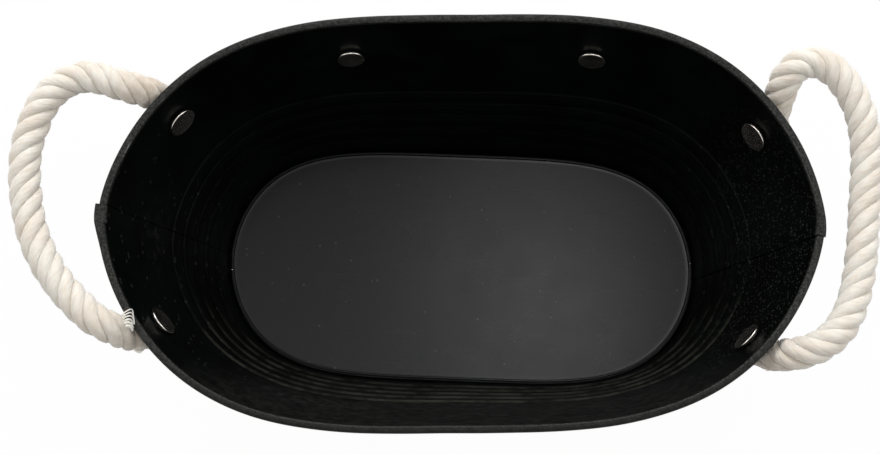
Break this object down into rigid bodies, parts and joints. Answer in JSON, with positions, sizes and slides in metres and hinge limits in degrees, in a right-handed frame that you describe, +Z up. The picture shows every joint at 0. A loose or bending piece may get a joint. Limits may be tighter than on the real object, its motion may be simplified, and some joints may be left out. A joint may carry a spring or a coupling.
{
  "type": "oblong metal basket",
  "caption": "Oblong black sheet-metal basket with flared walls, a rolled rim, pressed beads low on the wall, a flat floor and a thick twisted rope handle at each end.",
  "frame": {"origin": "on the plane that the foot stands on, in the middle of the metal body", "axes": "+X along the body's length towards the right rope handle, +Y to the back, which carries the two extra rivets, +Z up"},
  "size_m": [0.4845, 0.234, 0.1761],
  "materials": {
    "black_paint": "satin black paint over pressed sheet",
    "floor_paint": "satin black paint, dusty and scuffed",
    "rivet_steel": "plain dull steel",
    "rope_fibre": "cream laid fibre rope",
    "binding_thread": "cream thread"
  },
  "bodies": {
    "basket": {"front_shell": "black_paint", "back_shell": "black_paint", "floor_tray": "floor_paint", "left_back_rivet_cap": "rivet_steel", "left_front_rivet_cap": "rivet_steel", "right_back_rivet_cap": "rivet_steel", "right_front_rivet_cap": "rivet_steel", "rear_left_rivet_cap": "rivet_steel", "rear_right_rivet_cap": "rivet_steel", "left_back_rivet_head": "rivet_steel", "left_front_rivet_head": "rivet_steel", "right_back_rivet_head": "rivet_steel", "right_front_rivet_head": "rivet_steel", "rear_left_rivet_head": "rivet_steel", "rear_right_rivet_head": "rivet_steel", "left_back_rope_end": "rope_fibre", "left_front_rope_end": "rope_fibre", "right_back_rope_end": "rope_fibre", "right_front_rope_end": "rope_fibre", "left_back_binding": "binding_thread", "left_front_binding": "binding_thread", "right_back_binding": "binding_thread", "right_front_binding": "binding_thread"},
    "left_handle": {"left_handle_loop": "rope_fibre"},
    "right_handle": {"right_handle_loop": "rope_fibre"}
  },
  "joints": [
    {"name": "left_handle_lift", "type": "hinge", "parent": "basket", "child": "left_handle", "pos_m": [-0.188, 0.0774, 0.1656], "axis": [0.0403, 0.9992, 0], "range_deg": [-20, 85], "stiffness_Nm_per_rad": 0.5, "springref_deg": 1.72},
    {"name": "right_handle_lift", "type": "hinge", "parent": "basket", "child": "right_handle", "pos_m": [0.1892, 0.0802, 0.1652], "axis": [-0.0045, -1, 0], "range_deg": [-20, 85], "stiffness_Nm_per_rad": 0.5, "springref_deg": 1.72}
  ]
}
